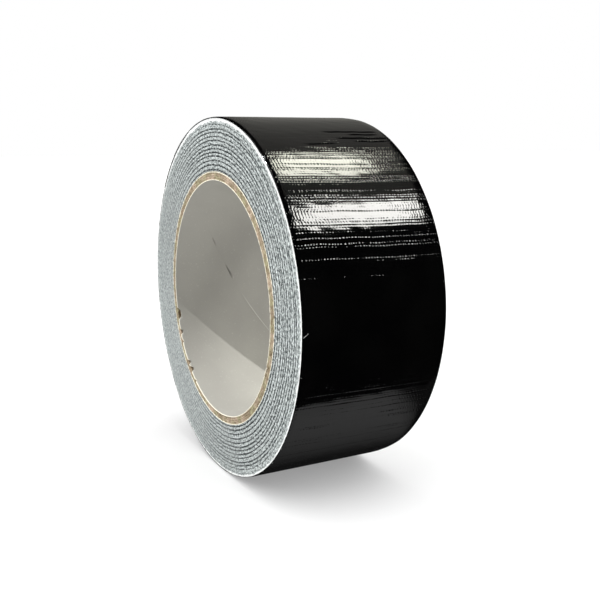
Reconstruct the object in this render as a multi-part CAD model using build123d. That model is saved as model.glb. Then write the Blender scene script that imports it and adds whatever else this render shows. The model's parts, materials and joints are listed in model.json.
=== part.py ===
from build123d import *
import math
import os

# Duct tape roll, standing on its rim as it does on a bench.
#
# Frame: +Z up. The winding axis runs along Y, the two flat side faces lie at
# Y = -tape_width / 2 and Y = +tape_width / 2, and the origin is the point where
# the rim touches the surface, midway between the side faces.
#
# Section frame: every section is drawn looking along +Y, with x to the right
# and y up, so an angle grows anticlockwise from +X towards +Z. The tape winds
# outwards as the angle grows.

# Driving dimensions, in millimetres and degrees
tape_width = 48.0
bore_radius = 38.1
liner_thickness = 0.15
ply_thickness = 0.625
ply_count = 4
film_thickness = 0.07
scrim_thickness = 0.05
adhesive_thickness = 0.09
turns = 80
winding_start_angle = 115.0

free_end_arc = 30.0
free_end_lift = 0.1
free_end_butt_gap = 0.1

seam_lead = 135.0
seam_gap = 0.3
liner_seam_angle = 184.5
ply_seam_stagger = 75.0

# Worked out from the driving dimensions
tape_thickness = adhesive_thickness + scrim_thickness + film_thickness
half_turn_rise = tape_thickness / 2
core_radius = bore_radius + 2 * liner_thickness + ply_count * ply_thickness
rim_radius = core_radius + turns * tape_thickness
section_plane = Plane(origin=(0, 0, rim_radius), x_dir=(1, 0, 0), z_dir=(0, -1, 0))
rise_centre = Vector(half_turn_rise, 0).rotate(Axis.Z, winding_start_angle)


def extruded(section):
    """Carry a section across the whole tape width, centred on the frame."""
    blank = Solid.extrude(section, Vector(0, 0, tape_width))
    return Pos(0, 0, -tape_width / 2) * blank


def write_node(name, solid):
    """Stand one piece up in the part's frame and write it."""
    export_step(section_plane.location * solid, os.path.join("parts", name + ".step"))


# Core: paper and board strips wound side by side into helical tubes

def helical_gap(inner_radius, outer_radius, middle_angle):
    """The narrow gap where the edges of one helically wound strip meet."""
    overrun = 1.0
    length = tape_width + 2 * overrun
    twist = 360 * length / seam_lead
    radial = outer_radius - inner_radius + 2 * overrun
    middle_radius = (inner_radius + outer_radius) / 2
    blank = Pos(middle_radius, 0) * Rectangle(radial, seam_gap)
    section = Rot(0, 0, middle_angle + twist / 2) * blank
    base = Vector(0, 0, -length / 2)
    return Solid.extrude_linear_with_rotation(
        section.face().moved(Location(base)), base, Vector(0, 0, length), -twist
    )


def wound_tube(inner_radius, thickness, seam_angle):
    """One layer of the core: a tube with its helical butt seam."""
    outer_radius = inner_radius + thickness
    ring = Circle(outer_radius) - Circle(inner_radius)
    return extruded(ring.face()) - helical_gap(inner_radius, outer_radius, seam_angle)


# Tape: one strip, wound in half-turn arcs about two centres. Every turn keeps its
# thickness, and its inside lies exactly on the outside of the turn below. The
# loose end is the last free_end_arc degrees of the strip.

def half_turn(index, offset):
    """Half turn number index of the surface that lies offset above the strip's underside."""
    radius = core_radius + offset + index * half_turn_rise
    if index % 2 == 0:
        return CenterArc((0, 0), radius, winding_start_angle, 180)
    return CenterArc(rise_centre, radius, winding_start_angle + 180, 180)


def whole_turn(number, offset):
    """Both halves of turn number of the surface that lies offset above the underside."""
    return [half_turn(2 * number, offset), half_turn(2 * number + 1, offset)]


def stepped_outline(number, offset):
    """A whole turn closed by the radial step that the strip makes where it laps itself."""
    arcs = whole_turn(number, offset)
    return Wire(arcs + [Line(arcs[1] @ 1, arcs[0] @ 0)])


def inner_turns():
    """All turns below the outermost one, stuck to each other as one mass."""
    outline = stepped_outline(turns - 2, tape_thickness)
    return extruded(Face(outline, [stepped_outline(0, 0)]))


def outer_turn_layer(offset, thickness):
    """One layer of the outermost whole turn, which carries on from the step below it."""
    inside = whole_turn(turns - 1, offset)
    outside = whole_turn(turns - 1, offset + thickness)
    first_end = Line(inside[0] @ 0, outside[0] @ 0)
    last_end = Line(inside[1] @ 1, outside[1] @ 1)
    return extruded(Face(Wire(inside + [last_end] + outside + [first_end])))


def free_end_layer(offset, thickness):
    """One layer of the strip's loose end, which lies just clear of the turn below."""
    radius = rim_radius + free_end_lift + offset
    first_angle = winding_start_angle + math.degrees(free_end_butt_gap / rim_radius)
    arc_size = winding_start_angle + free_end_arc - first_angle
    inside = CenterArc((0, 0), radius, first_angle, arc_size)
    outside = CenterArc((0, 0), radius + thickness, first_angle, arc_size)
    first_end = Line(inside @ 0, outside @ 0)
    last_end = Line(inside @ 1, outside @ 1)
    return extruded(Face(Wire([inside, last_end, outside, first_end])))


os.makedirs("parts", exist_ok=True)

core_layers = [("core_inner_liner", liner_thickness)]
for number in range(1, ply_count + 1):
    core_layers.append((f"core_board_ply_{number}", ply_thickness))
core_layers.append(("core_outer_liner", liner_thickness))

layer_radius = bore_radius
for position, (name, thickness) in enumerate(core_layers):
    seam_angle = liner_seam_angle + position * ply_seam_stagger
    write_node(name, wound_tube(layer_radius, thickness, seam_angle))
    layer_radius += thickness

write_node("tape_inner_turns", inner_turns())

tape_layers = [
    ("adhesive", adhesive_thickness),
    ("cloth_scrim", scrim_thickness),
    ("backing_film", film_thickness),
]

layer_offset = 0.0
for name, thickness in tape_layers:
    write_node("outer_turn_" + name, outer_turn_layer(layer_offset, thickness))
    write_node("free_end_" + name, free_end_layer(layer_offset, thickness))
    layer_offset += thickness
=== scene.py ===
"""Looks of the duct tape roll: its film, wound sides, core, loose end and threads."""
import bpy
import json
import math
import numpy as np
from mathutils import Matrix, Vector


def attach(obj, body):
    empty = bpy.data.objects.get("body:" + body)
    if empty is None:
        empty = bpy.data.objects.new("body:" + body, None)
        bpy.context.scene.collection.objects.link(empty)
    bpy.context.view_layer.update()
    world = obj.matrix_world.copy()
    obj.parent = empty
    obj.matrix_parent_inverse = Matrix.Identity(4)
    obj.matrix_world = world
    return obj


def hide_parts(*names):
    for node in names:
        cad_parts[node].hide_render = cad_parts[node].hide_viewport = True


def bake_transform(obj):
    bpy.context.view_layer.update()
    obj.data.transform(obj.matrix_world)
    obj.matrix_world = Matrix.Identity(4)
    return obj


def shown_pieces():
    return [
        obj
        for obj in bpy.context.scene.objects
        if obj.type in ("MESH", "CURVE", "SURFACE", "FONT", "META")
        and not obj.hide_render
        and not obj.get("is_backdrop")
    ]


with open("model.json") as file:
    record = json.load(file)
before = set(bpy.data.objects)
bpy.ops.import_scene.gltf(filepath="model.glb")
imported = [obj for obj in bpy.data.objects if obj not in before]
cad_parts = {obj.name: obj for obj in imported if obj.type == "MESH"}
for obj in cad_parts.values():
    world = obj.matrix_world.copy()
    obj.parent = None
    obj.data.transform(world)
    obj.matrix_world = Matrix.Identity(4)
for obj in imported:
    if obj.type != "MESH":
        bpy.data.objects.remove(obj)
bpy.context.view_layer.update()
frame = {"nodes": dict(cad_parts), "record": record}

# ---------------------------------------------------------------- sizes, in metres
MM = 0.001
MICRON = 1e-6
TAU = 2 * math.pi
record = frame["record"]
bore = next(mount for mount in record["mounts"] if mount["name"] == "core_bore")
AXIS_Z = bore["pos_m"][2]
RIM_R = AXIS_Z
BORE_R = bore["dims"]["r_mm"] * MM
HALF_WIDTH = bore["dims"]["length_mm"] * MM / 2


def outer_radius(node):
    """Largest distance of a CAD node from the winding axis."""
    return max(math.hypot(v.co.x, v.co.z - AXIS_Z) for v in frame["nodes"][node].data.vertices)


CORE_R = outer_radius("core_outer_liner")
MEAN_R = (CORE_R + RIM_R) / 2
# TAPE and FILM are the thickness of the whole tape and of its film
TURNS = 80
TAPE = (RIM_R - CORE_R) / TURNS
FILM = TAPE / 3
# The winding starts, and the loose end is rooted, at this angle from +X towards +Z
START = math.radians(115)
FREE_END_ARC = math.radians(30)
FREE_END_LIFT = 0.1 * MM

# Pitch of the cloth's yarns: warp yarns lie round the roll, weft yarns along Y
WARP_PITCH = 0.95 * MM
WEFT_PITCH = 0.85 * MM
# The film sinks into the cloth by this much on average, and by twice as much at most
SINK = 0.06 * MM


# ---------------------------------------------------------------- winding geometry
# theta is an angle in radians from the winding's start, and phi one from +X towards +Z.


def degrees_from(middle, phi):
    """Degrees from middle, an angle in degrees, to phi by the short way round."""
    return np.degrees(np.angle(np.exp(1j * (phi - math.radians(middle)))))


def lap_rise(theta):
    """How far a turn has climbed over the one below."""
    return np.where(theta > math.pi, TAPE / 2 * (1 + np.cos(theta)), 0.0)


def shoulder(y):
    """How far the outermost turns slump inwards towards the roll's two edges."""
    front_width, back_width = 1.5 * MM, 4.0 * MM
    front = np.clip((front_width - HALF_WIDTH - y) / front_width, 0, 1)
    back = np.clip((back_width - HALF_WIDTH + y) / back_width, 0, 1)
    return 0.16 * MM * front**1.8 + 0.36 * MM * back**2.2


def smooth_noise(seed, x, y, waves, longest, shortest):
    """Smooth random height, mostly between -1.5 and 1.5, over two coordinates in metres."""
    rng = np.random.default_rng(seed)
    total = np.zeros(np.broadcast(x, y).shape)
    for _ in range(waves):
        length = shortest * (longest / shortest) ** rng.random()
        heading, phase = rng.uniform(0, math.pi), rng.uniform(0, TAU)
        along = x * math.cos(heading) + y * math.sin(heading)
        total += np.cos(TAU * along / length + phase)
    return total / math.sqrt(waves)


# Creases across the film: phi in degrees, first and last place along Y in mm, depth as a share
CREASES = (
    (66.6, 0, 23, 1.0),
    (64.6, 8, 22, 1.0),
    (62.3, 3, 25, 1.0),
    (59.2, -10, 5, 0.7),
    (60.4, 8, 24, 0.8),
    (-14.0, -20, -4, 0.5),
    (152.0, -16, 9, 0.8),
    (224.0, -26, -8, 0.7),
    (262.0, 2, 20, 0.6),
)
CREASE_HALF_WIDTH = 0.55 * MM
CREASE_FADE = 4 * MM

# Where the cloth shows more (or less) through the film: phi and half span in degrees, place
# along Y and half span in mm, and what is added to the relief there
RELIEF = (
    (50, 6, -12, 10, 0.8),
    (50, 7, 15, 10, 0.9),
    (68, 8, 0, 40, -0.5),
    (31, 5, 12, 14, 0.4),
    (41, 4, 0, 40, 1.0),
    (20, 6.5, 0, 40, 0.45),
    (-5, 14, 0, 40, -0.65),
    (120, 25, 8, 14, 0.5),
    (230, 20, -8, 16, 0.6),
    (-24, 5, 6, 17, 2.0),
)


def emboss(theta, y):
    """Height of the film's slow waves, which lie below the full rim radius."""
    s = RIM_R * theta
    waves = 0.026 * MM * smooth_noise(7, s, y * 0.22, 9, 30 * MM, 7 * MM)
    lumps = 0.007 * MM * smooth_noise(8, s, y * 0.6, 9, 7 * MM, 2.5 * MM)
    return np.clip(waves + lumps - SINK, -2 * SINK, 0)


def crease_marks(theta, y):
    """Where the film is creased, and how strongly the cloth shows through it."""
    wander = math.radians(0.12) * smooth_noise(17, y, theta * 0, 6, 14 * MM, 5 * MM)
    crease = np.zeros(np.broadcast(theta, y).shape)
    for middle, first_y, last_y, depth in CREASES:
        away = RIM_R * np.radians(degrees_from(middle, START + theta + wander))
        begun = np.clip((y - first_y * MM) / CREASE_FADE, 0, 1)
        left = np.clip((last_y * MM - y) / CREASE_FADE, 0, 1)
        line = np.exp(-((away / CREASE_HALF_WIDTH) ** 2))
        crease = np.maximum(crease, depth * begun * left * line)
    relief = 0.85 + 0.15 * smooth_noise(18, RIM_R * theta, y, 8, 40 * MM, 12 * MM)
    for middle, half_span, middle_y, half_y, more in RELIEF:
        away = degrees_from(middle, START + theta)
        beside = (y / MM - middle_y) / half_y
        relief = relief + more * np.exp(-((away / half_span) ** 4) - beside**4)
    return {"crease": crease, "relief": np.clip(relief, 0.08, 3.0)}


def weave_marks(theta, y):
    """Marks of the cloth under the film: its weft rows and warp yarns, counted, and its creases."""
    s = RIM_R * theta
    drift = 0.55 * MM * smooth_noise(5, s * 0.25, y, 7, 90 * MM, 26 * MM)
    drift += 0.10 * MM * smooth_noise(6, s, y, 8, 16 * MM, 6 * MM)
    sway = 0.12 * MM * smooth_noise(9, s, y, 8, 40 * MM, 8 * MM)
    rows = (s + drift) / WEFT_PITCH + 40
    yarns = (y + sway) / WARP_PITCH + 40 + 0 * theta
    return {"weft_row": rows, "warp_row": yarns, **crease_marks(theta, y)}


def turn_radius(turn, theta, y):
    """Radius of the winding at a turn count, with the slump near the edges."""
    slumped = 4 * MM
    radius = CORE_R + TAPE * turn + lap_rise(theta)
    outer_share = np.clip((radius - RIM_R + slumped) / slumped, 0, 1)
    return radius - shoulder(y) * outer_share**1.5


# ---------------------------------------------------------------- mesh helpers
def swept_points(theta, radius, y):
    """Points at angle theta from the winding's start, at a radius and a place along Y."""
    theta, radius, y = np.broadcast_arrays(theta, radius, y)
    phi = START + theta
    return np.stack([radius * np.cos(phi), y, AXIS_Z + radius * np.sin(phi)], axis=-1)


def grid_faces(rows, columns, wrap_rows, wrap_columns):
    """Quads of a grid of points numbered row by row."""
    i = np.arange(rows if wrap_rows else rows - 1)[:, None]
    j = np.arange(columns if wrap_columns else columns - 1)[None, :]
    i2, j2 = (i + 1) % rows, (j + 1) % columns
    corners = [i * columns + j, i * columns + j2, i2 * columns + j2, i2 * columns + j]
    return np.stack(corners, axis=-1).reshape(-1, 4)


def signed_volume(points, quads):
    """Volume that the quads enclose, negative where they face inwards."""
    a, b, c, d = (points[quads[:, k]] for k in range(4))
    two = np.einsum("ij,ij->i", a, np.cross(b, c)) + np.einsum("ij,ij->i", a, np.cross(c, d))
    return two.sum() / 6


def mesh_object(name, points, faces, marks=None, smooth=True):
    """A mesh object. marks maps a vertex attribute's name to one number per point."""
    mesh = bpy.data.meshes.new(name)
    mesh.from_pydata(points.tolist(), [], faces)
    for mark, values in (marks or {}).items():
        attribute = mesh.attributes.new(mark, "FLOAT", "POINT")
        attribute.data.foreach_set("value", np.asarray(values, np.float32).ravel())
    if smooth:
        mesh.polygons.foreach_set("use_smooth", [True] * len(mesh.polygons))
    mesh.update()
    piece = bpy.data.objects.new(name, mesh)
    bpy.context.scene.collection.objects.link(piece)
    return piece


def shell_faces(grid, wrap, offset=0):
    """Faces, all outwards, of a grid of profile loops, capped at both ends unless it wraps round."""
    rows, columns = grid.shape[:2]
    points = grid.reshape(-1, 3)
    quads = grid_faces(rows, columns, wrap, True)
    flip = signed_volume(points - points.mean(0), quads) < 0
    faces = ((quads[:, ::-1] if flip else quads) + offset).tolist()
    if not wrap:
        first = list(range(offset, offset + columns))
        last = list(range(offset + (rows - 1) * columns, offset + rows * columns))
        faces += [first, last[::-1]] if flip else [first[::-1], last]
    return faces


def closed_sweep(name, grid, wrap, marks=None):
    """A closed piece from a grid of profile loops."""
    return mesh_object(name, grid.reshape(-1, 3), shell_faces(grid, wrap), marks)


def joined_sweeps(name, grids):
    """One piece of many small closed strips."""
    points, faces, offset = [], [], 0
    for grid in grids:
        faces += shell_faces(grid, False, offset)
        points.append(grid.reshape(-1, 3))
        offset += len(points[-1])
    return mesh_object(name, np.concatenate(points), faces)


def finish_piece(piece, material, body, nodes=()):
    """Give a piece its material, the body it rides on and the CAD nodes it replaces."""
    piece.data.materials.append(material)
    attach(piece, body)
    if nodes:
        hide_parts(*nodes)


# ---------------------------------------------------------------- shader helpers
class Graph:
    """Short way to write a node tree. An input is a number, a vector or another node's output."""

    def __init__(self, tree):
        self.tree = tree

    def add(self, kind, inputs=None, output=0, **settings):
        """One of the outputs of a new node."""
        node = self.tree.nodes.new("ShaderNode" + kind)
        for setting, value in settings.items():
            setattr(node, setting, value)
        for socket, value in (inputs or {}).items():
            self.put(node.inputs[socket], value)
        return node.outputs[output]

    def put(self, socket, value):
        """Link a socket to another node's output, or set its value."""
        if isinstance(value, bpy.types.NodeSocket):
            self.tree.links.new(value, socket)
        else:
            socket.default_value = value

    def math(self, operation, a, b=0.0, c=0.0):
        return self.add("Math", {0: a, 1: b, 2: c}, operation=operation)

    def between(self, value, low, high, to_low=0.0, to_high=1.0):
        """value from low to high, mapped smoothly to to_low to to_high."""
        inputs = {"Value": value, "From Min": low, "From Max": high}
        inputs.update({"To Min": to_low, "To Max": to_high})
        return self.add("MapRange", inputs, interpolation_type="SMOOTHSTEP")

    def mix(self, share, a, b):
        """Colour a where share is 0 and b where it is 1."""
        node = self.tree.nodes.new("ShaderNodeMix")
        node.data_type = "RGBA"
        self.put(node.inputs["Factor"], share)
        for socket, value in ((node.inputs[6], a), (node.inputs[7], b)):
            self.put(socket, (*value, 1) if isinstance(value, tuple) else value)
        return node.outputs[2]

    def times(self, a, b):
        return self.math("MULTIPLY", a, b)

    def mark(self, name):
        """A number that the mesh carries at each of its points."""
        return self.add("Attribute", output="Fac", attribute_name=name)

    def place(self):
        """Object coordinates, in metres."""
        return self.add("TexCoord", output="Object")

    def vector(self, x, y, z=0.0):
        return self.add("CombineXYZ", {"X": x, "Y": y, "Z": z})

    def noise(self, vector, scale, detail=2.0, roughness=0.5):
        inputs = {"Vector": vector, "Scale": scale, "Detail": detail, "Roughness": roughness}
        return self.add("TexNoise", inputs)

    def bump(self, height, distance, strength=1.0, normal=None):
        inputs = {"Height": height, "Distance": distance, "Strength": strength}
        if normal is not None:
            inputs["Normal"] = normal
        return self.add("Bump", inputs)


class MaterialGraph(Graph):
    """A new material's nodes. Its keywords are sockets of the shader that are the same all over."""

    def __init__(self, name, **values):
        self.material = bpy.data.materials.new(name)
        self.material.use_nodes = True
        super().__init__(self.material.node_tree)
        self.shader = self.tree.nodes["Principled BSDF"]
        self.out(**values)

    def out(self, **sockets):
        """Set or link sockets of the shader, and hand over the material."""
        for socket, value in sockets.items():
            self.put(self.shader.inputs[socket.replace("_", " ")], value)
        return self.material


# ---------------------------------------------------------------- materials
# Heights that feed a bump are in the unit that the bump's distance names. Noise scales on place
# are in cycles per metre; noise on counted yarns, rows or turns has a scale of 1.


def film_weft_depth(g, yarn):
    """Microns by which the film sinks between weft rows, in dots and with uneven strength."""
    even_row = g.mark("weft_row")
    bunching = g.noise(g.vector(g.times(even_row, 0.45), 0.0), 1.0, 1)
    row = g.math("MULTIPLY_ADD", bunching, 1.3, even_row)
    number = g.math("FLOOR", row)
    dent = g.math("MULTIPLY_ADD", g.math("COSINE", g.times(row, TAU)), -0.5, 0.5)

    pick = g.add("TexWhiteNoise", {"W": number}, noise_dimensions="1D")
    strong = g.math("MULTIPLY_ADD", g.math("POWER", pick, 2.7), 46.0, 3.0)
    along = g.noise(g.vector(g.times(number, 7.31), g.times(yarn, 0.11)), 1.0, 2)
    patch = g.noise(g.place(), 42, 2)
    amount = g.times(g.between(along, 0.3, 0.7, 0.5, 1.5), g.between(patch, 0.36, 0.64, 0.6, 1.4))
    amount = g.times(amount, g.mark("relief"))

    sway = g.noise(g.vector(g.times(number, 3.7), g.times(yarn, 0.35), 5.0), 1.0, 1)
    shifted = g.math("ADD", g.math("MULTIPLY_ADD", sway, 1.6, yarn), g.times(number, 0.5))
    uneven = g.noise(g.vector(g.times(number, 5.3), g.times(yarn, 0.9), 9.0), 1.0, 1)
    dots = g.between(g.math("COSINE", g.times(shifted, TAU)), -0.7, 0.9, 0.3, 1.5)
    dots = g.times(dots, g.between(uneven, 0.3, 0.7, 0.6, 1.4))
    return g.times(g.times(dent, dots), g.times(amount, strong))


def film_material():
    """Glossy black film pressed over the cloth: weft rows, warp ribs, creases and a fine grain."""
    rib_height, crease_depth = 2.0, 60.0
    g = MaterialGraph("black_film", IOR=1.5)
    place, yarn, crease = g.place(), g.mark("warp_row"), g.mark("crease")
    ribs = g.math("COSINE", g.times(yarn, TAU))
    height = g.math("MULTIPLY_ADD", ribs, rib_height, g.times(film_weft_depth(g, yarn), -1.0))
    height = g.math("MULTIPLY_ADD", crease, -crease_depth, height)
    weave = g.bump(height, MICRON)
    grain = g.noise(place, 1500, 3, 0.6)
    smear = g.noise(place, 55, 3)
    darkest, lightest = (0.0008, 0.0008, 0.0009), (0.0018, 0.0018, 0.0018)
    colour = g.mix(g.between(smear, 0.35, 0.7), darkest, lightest)
    rough = g.between(g.math("MULTIPLY_ADD", grain, 0.25, smear), 0.4, 0.85, 0.045, 0.10)
    # Specular level falls to nothing along the creases: painted shade in the folds.
    shine = g.between(crease, 0.05, 0.6, 0.5, 0.0)
    normal = g.bump(grain, 4 * MICRON, 0.8, weave)
    return g.out(Base_Color=colour, Roughness=rough, Specular_IOR_Level=shine, Normal=normal)


def wound_side_material():
    """Cut edges of the turns: rings of white yarn ends and grey adhesive, parted by dark gaps."""
    g = MaterialGraph("wound_side", Roughness=0.62, Specular_IOR_Level=0.3)
    turn, arc, groove = g.mark("turn"), g.mark("arc_mm"), g.mark("groove")
    place = g.place()

    def streaks(per_mm, per_turn, layer, detail, roughness=0.5):
        """Noise over the arc and the turns, with its own steps along each."""
        along, across = g.times(arc, per_mm), g.times(turn, per_turn)
        return g.noise(g.vector(along, across, layer), 1.0, detail, roughness)

    dashes = streaks(0.9, 0.33, 0.0, 1)
    yarns = streaks(1.0, 0.32, 0.0, 2, 0.6)
    pits = streaks(1.15, 0.38, 7.0, 1)
    fibre = g.noise(place, 1900, 2, 0.7)
    tint = g.noise(place, 45, 2)

    dark_adhesive, light_adhesive = (0.165, 0.19, 0.187), (0.225, 0.25, 0.245)
    yarn_end, fine_fibre = (0.74, 0.80, 0.785), (0.74, 0.78, 0.77)
    colour = g.mix(g.between(tint, 0.35, 0.65), dark_adhesive, light_adhesive)
    colour = g.mix(g.between(yarns, 0.46, 0.58, 0.0, 1.0), colour, yarn_end)
    colour = g.mix(g.between(fibre, 0.52, 0.68, 0.0, 0.6), colour, fine_fibre)

    film_place, film_edge, pit = 0.84, (0.03, 0.035, 0.04), (0.04, 0.048, 0.052)
    from_film = g.math("ABSOLUTE", g.math("SUBTRACT", g.math("FRACT", turn), film_place))
    film_line = g.between(from_film, 0.0, 0.2, 1.0, 0.0)
    colour = g.mix(g.times(film_line, 0.25), colour, film_edge)
    colour = g.mix(g.between(pits, 0.52, 0.61, 0.0, 0.85), colour, pit)

    pale, deep_gap = (0.72, 0.775, 0.765), (0.012, 0.018, 0.02)
    pale_dash = g.times(g.between(dashes, 0.56, 0.46), g.between(groove, 0.5, 0.0))
    colour = g.mix(g.times(pale_dash, 0.5), colour, pale)
    dark_dash = g.times(g.between(dashes, 0.42, 0.50, 0.38, 1.0), g.between(groove, 0.1, 0.5))
    colour = g.mix(dark_dash, colour, deep_gap)

    smear, painted_shade, lint = (0.36, 0.385, 0.38), (0.10, 0.11, 0.11), (0.93, 0.95, 0.94)
    smeared = g.times(g.mark("smear"), g.between(fibre, 0.3, 0.7, 0.7, 0.35))
    colour = g.mix(smeared, colour, smear)
    # Painted shade: the wound side is darkened towards the bottom and round the upper right.
    colour = g.mix(g.times(g.mark("painted_shade"), 0.15), colour, painted_shade)
    fuzz = g.times(g.mark("rim"), g.between(yarns, 0.25, 0.5, 0.6, 1.0))
    colour = g.mix(fuzz, colour, lint)

    height = g.math("MULTIPLY_ADD", fibre, 0.5, g.math("MULTIPLY_ADD", film_line, -0.4, yarns))
    return g.out(Base_Color=colour, Normal=g.bump(height, 0.12 * MM, 0.8))


def board_material():
    """Brown kraft board with pale and dark fibres, darker at a ply's edges and where it is stained."""
    g = MaterialGraph("kraft_board", Roughness=0.85, Specular_IOR_Level=0.2)
    place = g.place()
    pulp = g.noise(place, 520, 4, 0.75)
    speck = g.noise(place, 1900, 2, 0.6)
    blotch = g.noise(place, 170, 2, 0.6)
    olive, pinkish, brown = (0.43, 0.41, 0.25), (0.54, 0.425, 0.325), (0.25, 0.20, 0.13)
    dark_fibre, ply_gap, stain = (0.15, 0.105, 0.055), (0.15, 0.10, 0.05), (0.035, 0.02, 0.008)
    pale = g.mix(g.between(blotch, 0.42, 0.58), olive, pinkish)
    colour = g.mix(g.between(pulp, 0.35, 0.68), brown, pale)
    colour = g.mix(g.between(speck, 0.56, 0.70, 0, 0.7), colour, dark_fibre)
    colour = g.mix(g.times(g.mark("ply_edge"), 0.4), colour, ply_gap)
    colour = g.mix(g.times(g.mark("split"), 0.8), colour, stain)
    height = g.math("MULTIPLY_ADD", speck, 0.4, pulp)
    return g.out(Base_Color=colour, Normal=g.bump(height, 0.15 * MM, 0.7))


def paper_material(name, dark, light):
    """Smooth mottled paper, cream at its cut edge. Its seam is pale with glue, faintly dusty along its
    line and dark with painted shade where it gapes.
    """
    g = MaterialGraph(name, Roughness=0.6, Specular_IOR_Level=0.3)
    place = g.place()
    mottle = g.noise(place, 38, 3, 0.55)
    fibre = g.noise(place, 1400, 3, 0.6)
    pale_fibre, cream = (0.85, 0.83, 0.78), (0.92, 0.87, 0.72)
    glue, shade_and_dust = (0.72, 0.71, 0.66), (0.07, 0.065, 0.06)
    colour = g.mix(g.between(mottle, 0.3, 0.7), dark, light)
    colour = g.mix(g.between(fibre, 0.6, 0.8, 0, 0.25), colour, pale_fibre)
    colour = g.mix(g.mark("seam_glue"), colour, glue)
    # Painted shade where the seam gapes, and faint dust along the seam's line.
    colour = g.mix(g.mark("seam_shade_and_dust"), colour, shade_and_dust)
    colour = g.mix(g.mark("cut_edge"), colour, cream)
    return g.out(Base_Color=colour, Normal=g.bump(fibre, 0.03 * MM, 0.5))


def yarn_material():
    """White cotton and polyester yarn."""
    g = MaterialGraph("white_yarn", Roughness=0.8, Sheen_Weight=0.3, Specular_IOR_Level=0.2)
    strands = g.noise(g.place(), 3200, 3, 0.6)
    colour = g.mix(g.between(strands, 0.35, 0.65), (0.62, 0.65, 0.63), (0.90, 0.91, 0.89))
    return g.out(Base_Color=colour, Normal=g.bump(strands, 0.05 * MM, 0.8))


def adhesive_material():
    """Tacky grey-green rubber with the cloth showing through it."""
    g = MaterialGraph("adhesive", IOR=1.48)
    weft = g.math("COSINE", g.times(g.mark("arc_mm"), TAU * MM / WEFT_PITCH))
    warp = g.math("COSINE", g.times(g.mark("across_mm"), TAU * MM / WARP_PITCH))
    grid = g.math("MAXIMUM", weft, warp)
    mottle = g.noise(g.place(), 300, 3, 0.6)
    colour = g.mix(g.between(grid, 0.2, 0.9), (0.34, 0.38, 0.37), (0.60, 0.63, 0.61))
    colour = g.mix(g.between(mottle, 0.4, 0.7, 0, 0.35), colour, (0.45, 0.49, 0.48))
    rough = g.between(mottle, 0.3, 0.7, 0.26, 0.42)
    height = g.math("MULTIPLY_ADD", mottle, 0.5, grid)
    return g.out(Base_Color=colour, Roughness=rough, Normal=g.bump(height, 0.03 * MM, 0.8))


# ---------------------------------------------------------------- tape pieces
# Depth of the film's underside below the full rim radius
FILM_UNDER = FILM + SINK
TREAD_STEPS = 640
TREAD_ACROSS = 145


def pulled_side(theta):
    """1 where the last turn was pulled down tight over the edge, 0 on the rest of the turn."""
    away = np.abs(degrees_from(60, START + theta))
    return np.clip((105 - away) / 40, 0, 1)


def edge_lip(theta):
    """How deep the film's edge shows on the roll's side, where it is drawn down over the corner."""
    ripple = 0.04 * smooth_noise(14, RIM_R * theta, 0.0, 9, 60 * MM, 9 * MM)
    return FILM_UNDER + MM * (0.05 + 0.13 * pulled_side(theta) + ripple)


def tread_arc(name, first, last, material):
    """Half a turn of the outermost film, a closed shell whose outside has the film's slow waves."""
    theta = np.linspace(first, last, TREAD_STEPS + 1)[:, None]
    y = np.linspace(-HALF_WIDTH, HALF_WIDTH, TREAD_ACROSS)[None, :]
    outer = swept_points(theta, turn_radius(TURNS, theta, y) + emboss(theta, y), y)
    edges = np.array([[HALF_WIDTH, -HALF_WIDTH]])
    inner = swept_points(theta, turn_radius(TURNS, theta, edges) - edge_lip(theta), edges)
    marks = {}
    for mark, values in weave_marks(theta, y).items():
        marks[mark] = np.concatenate([values, values[:, -1:], values[:, :1]], axis=1)
    piece = closed_sweep(name, np.concatenate([outer, inner], axis=1), False, marks)
    finish_piece(piece, material, "roll", ["outer_turn_backing_film"])


SIDE_STEPS = 392
# Parts of one turn where its cut edge is sampled, and how far each stands back there, 0 to 1
TURN_SAMPLES = (0.0, 0.35, 0.7)
LAYER_RECESS = (0.3, 0.0, 1.0)
TURNS_PER_RING = 6.1
FIRST_GROOVE = 3.0


def ring_grooves(spiral_turn, theta):
    """Depth, 0 to 1, of the grooves that part the wound side into rings."""
    rng = np.random.default_rng(21)
    depth = np.zeros(np.broadcast(spiral_turn, theta).shape)
    place = FIRST_GROOVE
    while place < TURNS - 2:
        width, share = rng.uniform(0.9, 1.3), rng.uniform(0.75, 1.0)
        wander = 0.5 * np.cos(theta + rng.uniform(0, 6))
        wander = wander + 0.25 * np.cos(3 * theta + rng.uniform(0, 6))
        share *= min(1.0, 0.12 + (TURNS - place) / 30)
        depth = np.maximum(depth, share * np.exp(-(((spiral_turn - place - wander) / width) ** 2)))
        place += TURNS_PER_RING * rng.uniform(0.85, 1.15)
    return depth


def painted_shade_share(theta, height):
    """How much painted shade darkens the wound side: more towards the bottom, and round the upper
    right.
    """
    below = np.clip((AXIS_Z - height) / RIM_R, 0, 1)
    return below + np.exp(-((degrees_from(62, START + theta) / 38) ** 2))


def rim_share(side, theta, radius):
    """1 on the fuzzy pale rim at the outside of the wound side, 0 on the turns inside it."""
    ragged = 0.2 * MM * smooth_noise(45 + side, RIM_R * theta, 0.0, 12, 12 * MM, 0.9 * MM)
    lower_right = np.exp(-((degrees_from(-68, START + theta) / 45) ** 4))
    width = (0.5 + 0.87 * pulled_side(theta) + 0.35 * lower_right) * MM
    return np.clip((radius - RIM_R + width + ragged) / (0.25 * MM), 0, 1)


def smear_share(side, theta, radius):
    """1 on the left part of the wound side, where the yarn ends are smeared with adhesive."""
    away = np.abs(degrees_from(200, START + theta))
    uneven = 0.15 * smooth_noise(47 + side, RIM_R * theta, radius, 9, 30 * MM, 7 * MM)
    return np.clip(np.clip((98 - away) / 45, 0, 1) + uneven, 0, 1)


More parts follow.
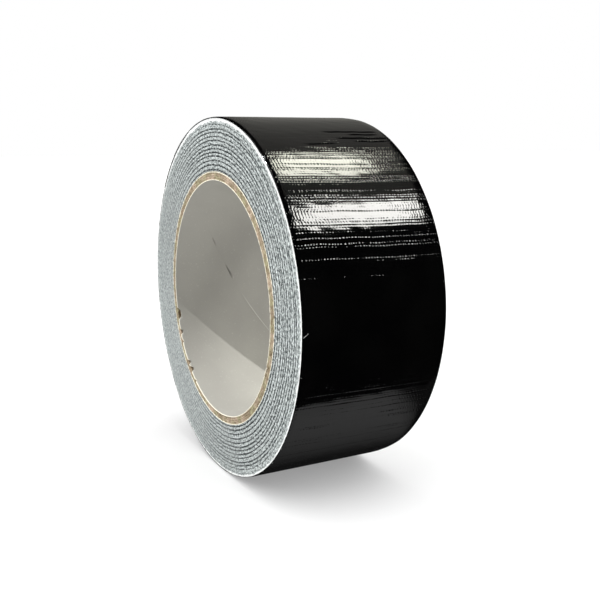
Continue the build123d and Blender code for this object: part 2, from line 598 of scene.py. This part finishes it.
def wound_half(name, side, material, nodes):
    """Half the roll's width of wound turns; side is -1 for the front and 1 for the back."""
    rng = np.random.default_rng(31 + side)
    theta = np.linspace(0, TAU, SIDE_STEPS + 1)[:, None]
    last_turn = TURNS - FILM_UNDER / TAPE
    turn = np.array([k + part for k in range(TURNS) for part in TURN_SAMPLES])
    turn = np.append(turn[turn < last_turn], last_turn)[None, :]
    spiral_turn = turn + theta / TAU

    stagger = np.interp(spiral_turn, np.arange(TURNS + 2), rng.uniform(0, 1, TURNS + 2))
    layer = np.interp(turn % 1.0, (*TURN_SAMPLES, 1.0), (*LAYER_RECESS, LAYER_RECESS[0]))
    groove = ring_grooves(spiral_turn, theta)
    fray = np.abs(smooth_noise(41 + side, RIM_R * theta, turn * TAPE * 3, 12, 5 * MM, 1.1 * MM))
    recess = MM * (0.03 + 0.05 * stagger + 0.025 * layer + 0.09 * groove + 0.05 * fray)
    face_y = side * (HALF_WIDTH - recess)
    face = swept_points(theta, turn_radius(turn, theta, side * HALF_WIDTH), face_y)

    depth_y = side * HALF_WIDTH * np.array([[0.985, 0.96, 0.93, 0.9, 0.86, 0.8, 0.0]])
    under = swept_points(theta, turn_radius(last_turn, theta, depth_y), depth_y)
    back = swept_points(theta, turn_radius(0, theta, 0.0), 0.0)
    grid = np.concatenate([face, under, back], axis=1)
    hidden_columns = grid.shape[1] - face.shape[1]

    def mark(values, filler):
        """The values on the face, and filler on the points that the film and the core hide."""
        values = np.broadcast_to(values, face.shape[:2])
        return np.concatenate([values, np.full((len(theta), hidden_columns), filler)], axis=1)

    radius = turn_radius(turn, theta, 0.0)
    marks = {
        "smear": mark(smear_share(side, theta, radius), 0.0),
        # painted shade, towards the bottom and round the upper right
        "painted_shade": mark(painted_shade_share(theta, face[..., 2]), 0.0),
        "turn": mark(spiral_turn, 0.5),
        "arc_mm": mark(MEAN_R * theta / MM, 0.0),
        "groove": mark(groove * (0.65 + 0.35 * fray), 0.0),
        "rim": mark(rim_share(side, theta, radius), 1.0),
    }
    finish_piece(closed_sweep(name, grid, False, marks), material, "roll", nodes)


# ---------------------------------------------------------------- core pieces
SEAM_LEAD = 135 * MM
LINER_SEAM = math.radians(184.5) - START
PLY_STAGGER = math.radians(75)
PAPER = outer_radius("core_inner_liner") - BORE_R
PLIES = 4
PLY = (CORE_R - BORE_R - 2 * PAPER) / PLIES
CORE_STEPS = 720
# How far the board's and the liner's cut ends stand back inside the tape's side faces
CORE_INSET = 0.09 * MM
LINER_INSET = 0.12 * MM

# Stained and frayed places of the innermost ply's front edge: phi and half width in degrees
SPLITS = (
    (197.5, 3.4),
    (207.5, 1.8),
    (213.0, 0.9),
    (225.5, 1.6),
    (230.0, 1.9),
    (238.0, 0.8),
    (337.0, 1.0),
)
# Nicks in the liner's front edge: phi and half width in degrees, depth in mm
NICKS = (
    (197.5, 2.9, 1.15),
    (207.5, 1.3, 0.7),
    (213.0, 0.7, 0.4),
    (225.5, 1.2, 0.75),
    (230.0, 1.5, 0.9),
    (238.0, 0.6, 0.3),
    (338.0, 1.1, 0.3),
)


def seam_angle(middle, y):
    """Angle from the winding's start at which a helical seam crosses a place along Y."""
    return middle + TAU * y / SEAM_LEAD


def flat_bump(phi, middle, half_width):
    """1 near middle, falling to 0 about half_width away from it, both in degrees."""
    return np.exp(-((degrees_from(middle, phi) / half_width) ** 4))


def ply_splits(phi):
    """How stained and frayed the front edge is at each angle, 0 to 1."""
    depth = np.zeros(np.shape(phi))
    for middle, half_width in SPLITS:
        depth = np.maximum(depth, flat_bump(phi, middle, half_width))
    return depth


def core_ring(name, number, inner, outer, seam_middle, material, node):
    """One board or paper layer of the core, with a rough cut end and its seam's notch.

    Layer 1 is the innermost ply, which is stained at its front edge.
    """
    rng = np.random.default_rng(50 + number)
    theta = np.linspace(0, TAU, CORE_STEPS, endpoint=False)[:, None]
    share = np.linspace(0, 1, 6)[None, :]
    radius = inner + (outer - inner) * share
    bevel = 0.06 * (2 * share - 1) ** 6
    split = ply_splits(START + theta) * np.clip((0.9 - share) / 0.25, 0, 1) * (number == 1)
    ends = []
    for side in (-1, 1):
        rough = 0.035 * np.abs(rng.normal(0, 1, (CORE_STEPS, share.size)))
        swell = 0.09 * smooth_noise(60 + number + side, RIM_R * theta, share * 0, 12, 9 * MM, 1.2 * MM)
        away = np.angle(np.exp(1j * (theta - seam_angle(seam_middle, side * HALF_WIDTH))))
        notch = 0.35 * np.exp(-((away * BORE_R / (0.28 * MM)) ** 2))
        frayed = 0.25 * split * (side < 0)
        recess = CORE_INSET + MM * (bevel + rough + np.clip(swell, -0.07, 0.2) + notch + frayed)
        ends.append(side * (HALF_WIDTH - recess))
    front = swept_points(theta, radius, ends[0])
    back = swept_points(theta, radius[:, ::-1], ends[1][:, ::-1])
    grid = np.concatenate([front, back], axis=1)
    edge = np.broadcast_to((np.abs(2 * share - 1) > 0.9).astype(float), split.shape)
    marks = {
        "ply_edge": np.concatenate([edge, edge], axis=1),
        "cut_edge": np.ones(grid.shape[:2]),
        "split": np.concatenate([split, 0 * split], axis=1),
    }
    finish_piece(closed_sweep(name, grid, True, marks), material, "roll", [node])


def liner_nicks(phi):
    """How far the liner's front edge is torn back at each angle."""
    depth = np.zeros(np.shape(phi))
    for middle, half_width, amount in NICKS:
        depth = np.maximum(depth, amount * flat_bump(phi, middle, half_width))
    return depth * MM


def liner_grid():
    """Angles across the liner's strip, from its seam and back to it, and shares of the half width.

    The angles are close together beside the seam, so that the seam is crisp.
    """
    fine = np.array([0.06, 0.14, 0.24, 0.4, 0.7, 1.1, 1.6, 2.3]) * MM / BORE_R
    coarse = np.linspace(fine[-1], TAU - fine[-1], 500)[1:-1]
    alpha = np.concatenate([[0], fine, coarse, TAU - fine[::-1]])[:, None]
    return alpha, np.linspace(-1, 1, 97)[None, :]


def liner_radius(phi, y, share, away, opened):
    """The liner's inside: it swells slowly, stands proud beside its seam and gapes where opened."""
    swell = 0.02 * MM * smooth_noise(72, BORE_R * phi * 0.6, y * 0.5, 10, 30 * MM, 12 * MM)
    crack = 0.13 * MM * np.exp(-((away / 0.35) ** 2)) * opened
    shows = np.clip((share + 0.62) / 0.1, 0.1, 1)
    lip = 0.05 * MM * np.exp(-(((away - 0.42) / 0.34) ** 2)) * shows
    fade = 0.04 * MM * np.exp(-((away / 2.0) ** 2)) * shows
    return BORE_R + 0.02 * MM + swell + crack - lip - fade


def liner_fold(side, theta, y):
    """The liner's cut edge at one side; towards the lower left of the front it stands out."""
    phi = START + theta
    whole = 1 - 0.95 * ply_splits(phi)
    stands_out = 0.34 * MM * whole * flat_bump(phi, 238, 42) * (side < 0)
    loops = []
    for over, proud in ((-0.05, 0.05), (0.15, 0.06), (0.15, -0.02), (0.09, -0.12)):
        loop_y = y + side * (proud * MM + stands_out * (proud > 0))
        loops.append(swept_points(theta, BORE_R + PAPER + over * MM, loop_y)[:, None])
    return loops


def liner_piece(material):
    """The paper inside the bore. Its grid leans with the helical seam."""
    alpha, share = liner_grid()
    away = np.where(alpha > math.pi, alpha - TAU, alpha) * BORE_R / MM
    theta = seam_angle(LINER_SEAM, share * HALF_WIDTH) + alpha
    phi = START + theta

    ragged = 0.03 * MM * smooth_noise(71, RIM_R * theta, share * 0, 12, 8 * MM, 0.8 * MM)
    y = share * HALF_WIDTH - (LINER_INSET + ragged) * np.sign(share) * (np.abs(share) > 0.99)
    torn_y = -HALF_WIDTH + liner_nicks(phi) + (share + 1) * 0.1 * MM
    y = np.where(share < -0.85, np.maximum(y, torn_y), y)

    opened = 0.55 * np.exp(-(((share + 0.41) / 0.035) ** 4)) + np.exp(-(((share + 0.125) / 0.05) ** 4))
    inner = swept_points(theta, liner_radius(phi, y, share, away, opened), y)
    back_fold = liner_fold(1, theta[:, -1], y[:, -1])
    front_fold = liner_fold(-1, theta[:, 0], y[:, 0])[::-1]
    wall = slice(-4, 3, -3)
    outer = swept_points(theta[:, wall], BORE_R + PAPER + 0.1 * MM, y[:, wall])
    grid = np.concatenate([inner, *back_fold, outer, *front_fold], axis=1)

    line = np.exp(-((away / 0.16) ** 2))
    glued = np.exp(-(((share - 0.30) / 0.17) ** 4))
    widening = 0.5 + 7 * np.clip(share + 0.135, 0, 0.1)
    # A faint line of dust along the seam, and painted shade where the seam gapes.
    shade_and_dust = 0.02 * line + 0.7 * opened * np.exp(-((away / widening) ** 4))
    hidden = np.zeros((len(alpha), grid.shape[1] - y.shape[1]))
    marks = {
        "seam_shade_and_dust": np.concatenate([shade_and_dust, hidden], axis=1),
        "seam_glue": np.concatenate([line * glued, hidden], axis=1),
        "cut_edge": np.concatenate([0 * shade_and_dust, hidden + 1], axis=1),
    }
    piece = closed_sweep("liner_paper", grid, True, marks)
    finish_piece(piece, material, "roll", ["core_inner_liner"])


# ---------------------------------------------------------------- loose end
FLAP_STEPS = 110
# The strip starts this much before the winding's start, so that no gap shows at its root
FLAP_LAP = math.radians(0.6)
# Arc over which the loose end lifts clear of the turn below, and an arc along it from its root
LIFT_ARC = math.radians(6)
BEND_ARC = math.radians(9)
# Heights in the strip: the adhesive's underside and top, and the middle of the cloth
ADHESIVE_HEIGHTS = (0.02 * MM, 0.09 * MM)
CLOTH_HEIGHT = 0.108 * MM
YARN_HALF_HEIGHT = 0.016 * MM
WARP_HALF_WIDTH = 0.16 * MM
WEFT_HALF_WIDTH = 0.12 * MM


def tip_angle(y):
    """Where the hand-torn end stops, at each place along Y."""
    steps = np.round(y / WARP_PITCH)
    rng = np.random.default_rng(81)
    jag = np.interp(steps, np.arange(-30, 31), rng.uniform(0, 0.45, 61)) * MM
    bow = 0.5 * MM * (1 + np.cos(3.4 * y / HALF_WIDTH + 0.8))
    return FREE_END_ARC - (jag + bow) / RIM_R


def flap_rise(theta, y):
    """How far the strip stands off the full rim radius: it lifts, slumps and waves as one."""
    ramp = np.clip(theta / LIFT_ARC, 0, 1)
    lift = FREE_END_LIFT * ramp**2 * (3 - 2 * ramp)
    return lift - shoulder(y) + 0.7 * emboss(theta + TAU, y)


def flap_layer(name, low, high, across, recess):
    """Closed shell between two heights of the strip, its edges drawn in by recess."""
    y = np.linspace(-HALF_WIDTH + recess, HALF_WIDTH - recess, across)[None, :]
    share = np.linspace(0, 1, FLAP_STEPS + 1)[:, None]
    theta = -FLAP_LAP + (tip_angle(y) - recess / RIM_R + FLAP_LAP) * share
    base = RIM_R + flap_rise(theta, y)
    top = swept_points(theta, base + high, y)
    bottom = swept_points(theta, base + low, y)
    grid = np.concatenate([top, bottom[:, ::-1]], axis=1)
    marks = {"arc_mm": theta * RIM_R / MM, "across_mm": np.broadcast_to(y / MM, theta.shape)}
    marks.update(weave_marks(theta + TAU, y))
    for mark, values in marks.items():
        marks[mark] = np.concatenate([values, values[:, ::-1]], axis=1)
    return closed_sweep(name, grid, False, marks)


def bend_with_peel(piece, material, node):
    """Give a loose-end piece its material, apply its transform to its mesh and hide the CAD node that
    it replaces.
    """
    piece.data.materials.append(material)
    start, end = (Vector(swept_points(theta, RIM_R + TAPE, 0.0)) for theta in (0.0, BEND_ARC))
    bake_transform(piece)
    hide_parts(node)


SQUARE = ((-1, -1), (1, -1), (1, 1), (-1, 1))


def ribbon(path, half_width, half_height, side_way):
    """Points of a thin closed strip along a path; side_way points across it."""
    side_way = np.asarray(side_way, float)
    out_way = path * [1, 0, 1] - [0, 0, AXIS_Z]
    out_way /= np.linalg.norm(out_way, axis=1, keepdims=True)
    across, up = half_width * side_way, half_height * out_way
    return np.stack([path + a * across + b * up for a, b in SQUARE], axis=1)


def cloth_yarns():
    """Warp and weft yarns of the loose end, as flat ribbons with frayed ends."""
    rng = np.random.default_rng(91)
    middle = RIM_R + CLOTH_HEIGHT
    first_y = -HALF_WIDTH + 0.5 * MM
    first_theta, last_theta = 0.006, FREE_END_ARC - 0.016
    grids = []
    for y in np.arange(first_y, HALF_WIDTH, WARP_PITCH):
        end = tip_angle(y) + rng.uniform(-0.1, 0.6) * MM / RIM_R
        theta = np.linspace(0.002, min(end, FREE_END_ARC), 60)
        sway = rng.uniform(-0.2, 0.2) * MM * np.clip((theta - tip_angle(y)) / 0.01, 0, 1)
        path = swept_points(theta, middle + flap_rise(theta, y), y + sway)
        grids.append(ribbon(path, WARP_HALF_WIDTH, YARN_HALF_HEIGHT, [[0, 1, 0]]))
    for theta in np.arange(first_theta, last_theta, WEFT_PITCH / RIM_R):
        y = np.linspace(-HALF_WIDTH, HALF_WIDTH, 40)
        path = swept_points(theta, middle + flap_rise(theta, y), y)
        across = [[-math.sin(START + theta), 0, math.cos(START + theta)]]
        grids.append(ribbon(path, WEFT_HALF_WIDTH, YARN_HALF_HEIGHT, across))
    return joined_sweeps("loose_end_cloth", grids)


# ---------------------------------------------------------------- fibres at the roll's edges
THREAD_RADIUS = 0.035 * MM
FUZZ_RADIUS = 0.028 * MM
FUZZ_COUNT = 420
FIBRE_PIECES = 6

# Loose threads: phi in degrees, length in mm, and how much they point outwards and onwards
FRONT_THREADS = (
    (-1, 3.0, 0.9, 0.1),
    (-12, 1.6, 0.7, -0.5),
    (-24, 1.2, 0.6, 0.6),
    (52, 1.4, 0.4, 0.9),
    (33, 0.9, 0.8, 0.3),
    (-48, 1.1, 0.7, -0.2),
    (148, 1.3, 0.6, 0.4),
)
BACK_THREADS = (
    (10, 1.8, 0.8, 0.3),
    (64, 1.2, 0.5, -0.5),
    (139, 2.4, 0.7, 0.4),
    (201, 1.5, 0.6, -0.3),
)


def fibre(root, first_way, length, radius, rng):
    """A short curling fibre with a square section that narrows to its tip."""
    way = np.array(first_way, float)
    curl = rng.normal(0, 1, 3)
    points = [np.array(root, float)]
    for _ in range(FIBRE_PIECES):
        way = way + 0.28 * curl + rng.normal(0, 0.12, 3)
        way /= np.linalg.norm(way)
        points.append(points[-1] + way * length / FIBRE_PIECES)
    path = np.array(points)
    side = np.cross(way, [0.31, 0.77, 0.55])
    side /= np.linalg.norm(side)
    up = np.cross(side, way)
    size = (radius * np.linspace(1, 0.45, len(path)))[:, None]
    return np.stack([path + size * (a * side + b * up) for a, b in SQUARE], axis=1)


def rim_ways(theta):
    """Unit vectors outwards and onwards along the winding."""
    phi = START + theta
    outward = np.array([math.cos(phi), 0, math.sin(phi)])
    onward = np.array([-math.sin(phi), 0, math.cos(phi)])
    return outward, onward


def edge_fibres(name, side, threads, material):
    """Loose yarn ends and fine fuzz where the cloth is cut at one edge of the roll."""
    rng = np.random.default_rng(101 + side)
    edge_y = side * HALF_WIDTH
    root_radius = RIM_R - float(shoulder(edge_y)) - FILM_UNDER
    grids = []

    def root_at(theta, inset):
        rise = float(lap_rise(theta % TAU))
        return swept_points(theta, root_radius + rise - inset, edge_y - side * 0.05 * MM)

    for phi_degrees, length, out, along in threads:
        theta = math.radians(phi_degrees) - START
        outward, onward = rim_ways(theta)
        way = out * outward + along * onward + np.array([0, -side * 0.8, 0])
        way /= np.linalg.norm(way)
        grids.append(fibre(root_at(theta, 0), way, length * MM, THREAD_RADIUS, rng))
    for _ in range(FUZZ_COUNT):
        theta = rng.uniform(0, TAU)
        outward, onward = rim_ways(theta)
        stand = 0.25 + 0.6 * float(pulled_side(theta))
        way = rng.uniform(-0.4, stand) * outward + rng.normal(0, 0.8) * onward
        way[1] = side * rng.uniform(0.1, 0.7)
        inset = abs(rng.normal(0, 0.35)) * MM
        length = rng.uniform(0.2, 0.6) * MM
        grids.append(fibre(root_at(theta, inset), way, length, FUZZ_RADIUS, rng))
    finish_piece(joined_sweeps(name, grids), material, "roll")


# ---------------------------------------------------------------- build the roll
def build_tape():
    """The outermost film in two half turns, and the turns under it in two half widths."""
    film, wound = film_material(), wound_side_material()
    tread_arc("film_tread_back", 0, math.pi, film)
    tread_arc("film_tread_front", math.pi, TAU, film)
    wound_half("wound_tape_front", -1, wound, ["tape_inner_turns"])
    wound_half("wound_tape_back", 1, wound, ["outer_turn_adhesive", "outer_turn_cloth_scrim"])
    return film


def build_core():
    """The liner, the board plies and the cream paper round them."""
    board = board_material()
    grey_paper = paper_material("liner_paper", (0.345, 0.335, 0.304), (0.386, 0.376, 0.340))
    cream_paper = paper_material("cream_paper", (0.62, 0.54, 0.42), (0.80, 0.73, 0.60))
    cover_inside, cover_outside = CORE_R - 0.27 * MM, CORE_R - 0.01 * MM
    liner_piece(grey_paper)
    for number in range(1, PLIES + 1):
        inner = BORE_R + PAPER + (number - 1) * PLY
        outer = inner + PLY - (0.12 * MM if number == PLIES else 0)
        name, seam = f"board_ply_{number}", LINER_SEAM + number * PLY_STAGGER
        core_ring(name, number, inner, outer, seam, board, f"core_board_ply_{number}")
    seam = LINER_SEAM + (PLIES + 1) * PLY_STAGGER
    core_ring("core_cover_paper", 0, cover_inside, cover_outside, seam,
              cream_paper, "core_outer_liner")


def build_loose_end(film, yarn):
    """The loose end's film, its cloth and its adhesive."""
    film_piece = flap_layer("loose_end_film", TAPE - FILM, TAPE, TREAD_ACROSS, 0.0)
    bend_with_peel(film_piece, film, "free_end_backing_film")
    bend_with_peel(cloth_yarns(), yarn, "free_end_cloth_scrim")
    sticky_piece = flap_layer("loose_end_adhesive", *ADHESIVE_HEIGHTS, 73, 0.15 * MM)
    bend_with_peel(sticky_piece, adhesive_material(), "free_end_adhesive")


film = build_tape()
build_core()
yarn = yarn_material()
build_loose_end(film, yarn)
edge_fibres("edge_threads_front", -1, FRONT_THREADS, yarn)
edge_fibres("edge_threads_back", 1, BACK_THREADS, yarn)


# ---------------------------------------------------------------- stage: camera, floor, lights
CAMERA_AZIMUTH = math.radians(61.5)
CAMERA_ELEVATION = math.radians(10.97)
# Distance from the roll's centre, and how far the camera is moved sideways and upwards, in metres
CAMERA_DISTANCE = 0.2885
CAMERA_RIGHT = 0.00575
CAMERA_UP = -0.00248
LENS_MM = 51.36
SENSOR_MM = 36
ROLL_CENTRE = Vector((0, 0, AXIS_Z))
WHITE = (1, 1, 1, 1)


def aimed(obj, centre, out_way, x_way):
    """Stand an object at centre with its local +Z along out_way and its local +X near x_way."""
    z = Vector(out_way).normalized()
    x = (Vector(x_way) - Vector(x_way).dot(z) * z).normalized()
    y = z.cross(x)
    turn = Matrix((x, y, z)).transposed().to_4x4()
    obj.matrix_world = Matrix.Translation(centre) @ turn
    bpy.context.scene.collection.objects.link(obj)


def place_camera():
    """The photograph's view of the roll."""
    level = math.cos(CAMERA_ELEVATION)
    right = Vector((math.cos(CAMERA_AZIMUTH), math.sin(CAMERA_AZIMUTH), 0))
    back = Vector((level * right.y, -level * right.x, math.sin(CAMERA_ELEVATION)))
    up = back.cross(right)
    data = bpy.data.cameras.new("camera")
    data.lens, data.sensor_width = LENS_MM, SENSOR_MM
    data.clip_start = 0.02
    camera = bpy.data.objects.new("camera", data)
    offset = back * CAMERA_DISTANCE + right * CAMERA_RIGHT + up * CAMERA_UP
    aimed(camera, ROLL_CENTRE + offset, back, right)
    bpy.context.scene.camera = camera
    bpy.context.scene.view_settings.view_transform = "Standard"


def flat_card(name, half_x, half_y, z, material):
    """A flat stage piece under the roll, centred on the frame."""
    corners = [(-half_x, -half_y, z), (half_x, -half_y, z), (half_x, half_y, z), (-half_x, half_y, z)]
    card = mesh_object(name, np.array(corners), [[0, 1, 2, 3]], smooth=False)
    card.data.materials.append(material)
    card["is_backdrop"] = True
    return card


def floor_material():
    """Paper that glows a little, so that the roll's shadow on it stays pale."""
    g = MaterialGraph("bright_paper", Roughness=1.0, Specular_IOR_Level=0.0, Emission_Strength=0.29)
    return g.out(Base_Color=(0.6, 0.6, 0.6, 1), Emission_Color=WHITE)


def table_card_material():
    """A pale card that is dark under the roll, where the roll's own shadow falls."""
    g = MaterialGraph("shaded_card", Roughness=1.0, Specular_IOR_Level=0.0)
    x, y = (g.add("SeparateXYZ", {"Vector": g.place()}, output=axis) for axis in (0, 1))
    shade = g.between(g.math("ABSOLUTE", x), 0.022, 0.066, 0.02, 0.76)
    shade = g.times(shade, g.between(g.math("ABSOLUTE", y), 0.030, 0.044, 1.0, 0.08))
    return g.out(Base_Color=shade)


def build_floor():
    """The floor that is seen, and the card that the film reflects in its place."""
    floor = flat_card("floor", 4, 4, -0.05 * MM, floor_material())
    floor.visible_glossy = False
    table_card = flat_card("table_card", 0.0715, 0.075, -0.3 * MM, table_card_material())
    for ray in ("visible_camera", "visible_diffuse", "visible_shadow", "visible_transmission"):
        setattr(table_card, ray, False)
    return floor, table_card


def receivers(name, objects):
    """A collection of the objects that a light falls on."""
    collection = bpy.data.collections.new(name)
    for obj in objects:
        collection.objects.link(obj)
    return collection


def sun(name, way, strength, spread, lit):
    """A distant light from the direction way; spread is its angular size in degrees."""
    data = bpy.data.lights.new(name, "SUN")
    data.energy, data.angle = strength, math.radians(spread)
    lamp = bpy.data.objects.new(name, data)
    aimed(lamp, ROLL_CENTRE + Vector(way), way, (1, 0, 0))
    lamp.light_linking.receiver_collection = lit


def soft_box(name, centre_mm, width, height, radiance, lit, colour=(1, 1, 1)):
    """Rectangular light facing the roll, its centre measured from the roll's, its sides in metres."""
    data = bpy.data.lights.new(name, "AREA")
    data.shape = "RECTANGLE"
    data.size, data.size_y = width, height
    data.energy = radiance * math.pi * width * height
    data.color = colour
    lamp = bpy.data.objects.new(name, data)
    centre = Vector(centre_mm) * MM
    aimed(lamp, ROLL_CENTRE + centre, centre, (centre.z, 0, -centre.x))
    lamp.light_linking.receiver_collection = lit


def build_lights(stage_pieces):
    """A key light and soft boxes on the roll, and two wide lights on the floor."""
    on_roll = receivers("lit_by_roll_lights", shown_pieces())
    on_floor = receivers("lit_by_floor_light", stage_pieces)
    sun("key", (-0.154, -0.42, 0.893), 3.02, 0.9, on_roll)
    sun("overhead_left", (-0.17, -0.55, 0.82), 2.32, 78, on_floor)
    sun("overhead_right", (0.36, 0.46, 0.81), 2.2, 75, on_floor)
    soft_box("strip_high", (-19, 290, 560), 0.175, 0.09, 14, on_roll, (1, 1, 0.86))
    soft_box("strip_low", (318, 322, 459), 0.155, 0.13, 20, on_roll, (1, 0.99, 0.95))
    soft_box("strip_high_back", (33, -308, 553), 0.21, 0.125, 5, on_roll)
    soft_box("strip_low_back", (-318, -322, 459), 0.195, 0.13, 5, on_roll)


def build_world():
    """White for the eye, an even grey for diffuse light, and a dim far wall in reflections."""
    world = bpy.data.worlds.new("studio")
    bpy.context.scene.world = world
    world.use_nodes = True
    world.node_tree.nodes.clear()
    g = Graph(world.node_tree)

    way = g.add("TexCoord", output="Generated")
    x, y, z = (g.add("SeparateXYZ", {"Vector": way}, output=axis) for axis in range(3))
    aside = g.math("ABSOLUTE", y)
    window = g.times(g.between(aside, 0.36, 0.44), g.between(aside, 0.66, 0.60))
    upper = g.times(g.between(z, -0.02, 0.10), g.between(x, 0.50, 0.22))
    wall = g.times(g.times(window, upper), 0.24)

    eye = g.add("Background", {"Color": WHITE, "Strength": 1.0})
    shine = g.add("Background", {"Color": (1, 0.98, 0.9, 1), "Strength": wall})
    fill = g.add("Background", {"Color": WHITE, "Strength": 0.55})
    glossy, direct = (g.add("LightPath", output=ray) for ray in ("Is Glossy Ray", "Is Camera Ray"))
    lit = g.add("MixShader", {0: glossy, 1: fill, 2: shine})
    seen = g.add("MixShader", {0: direct, 1: lit, 2: eye})
    output = world.node_tree.nodes.new("ShaderNodeOutputWorld")
    g.put(output.inputs["Surface"], seen)


place_camera()
build_lights(build_floor())
build_world()
